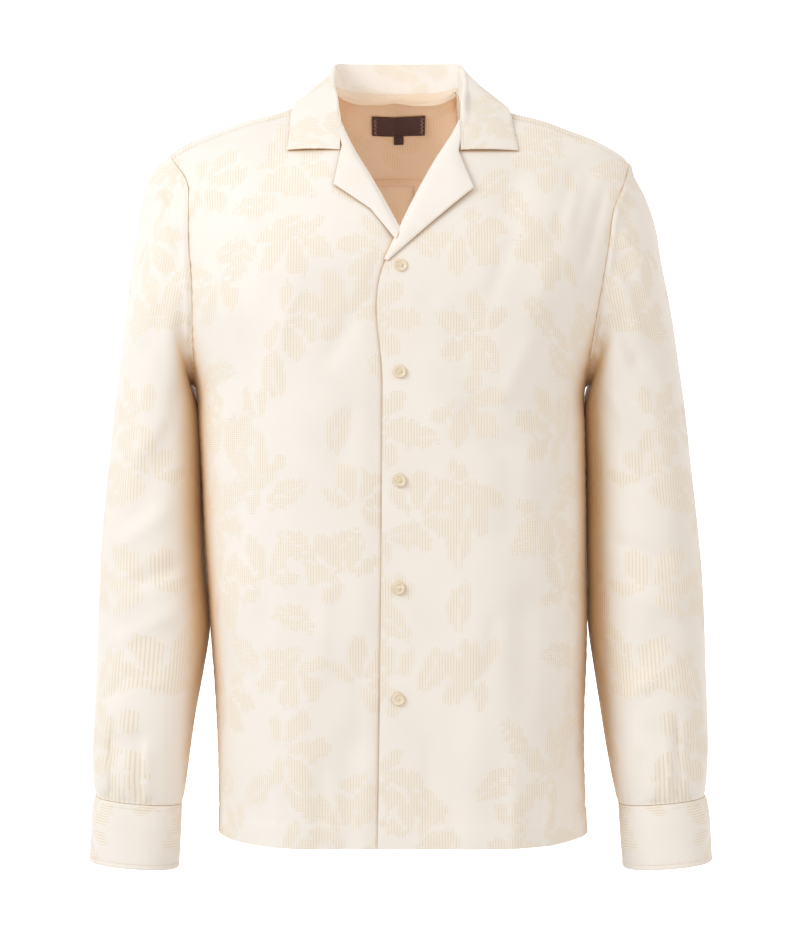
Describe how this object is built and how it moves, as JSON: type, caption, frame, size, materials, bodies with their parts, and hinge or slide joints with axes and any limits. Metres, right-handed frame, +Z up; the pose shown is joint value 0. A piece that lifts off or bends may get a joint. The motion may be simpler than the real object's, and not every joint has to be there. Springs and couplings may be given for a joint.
{
  "type": "long-sleeve shirt",
  "caption": "Long-sleeve button-front shirt with a notched camp collar, barrel cuffs and a straight hem, in its hollow worn form.",
  "frame": {"origin": "between the shoulders, at the height of the neck side points, where the wearer holds the shirt up", "axes": "+Z up, +X to the wearer's left, +Y to the back"},
  "size_m": [0.6186, 0.2582, 0.8105],
  "materials": {
    "shirt_cloth": "soft satin jacquard, cream, tone on tone",
    "button_shell": "pearly, soft gloss",
    "label_tape": "dark plum woven tape, matte"
  },
  "bodies": {
    "root": {"yoke": "shirt_cloth", "back": "shirt_cloth", "front_left": "shirt_cloth", "front_right": "shirt_cloth", "sleeve_left": "shirt_cloth", "sleeve_right": "shirt_cloth", "cuff_left": "shirt_cloth", "cuff_right": "shirt_cloth", "placket_left": "shirt_cloth", "placket_right": "shirt_cloth", "collar": "shirt_cloth", "lapel_left": "shirt_cloth", "lapel_right": "shirt_cloth", "button_1": "button_shell", "button_2": "button_shell", "button_3": "button_shell", "button_4": "button_shell", "button_5": "button_shell", "cuff_button_left": "button_shell", "cuff_button_right": "button_shell", "label": "label_tape", "size_tab": "label_tape"}
  },
  "joints": []
}
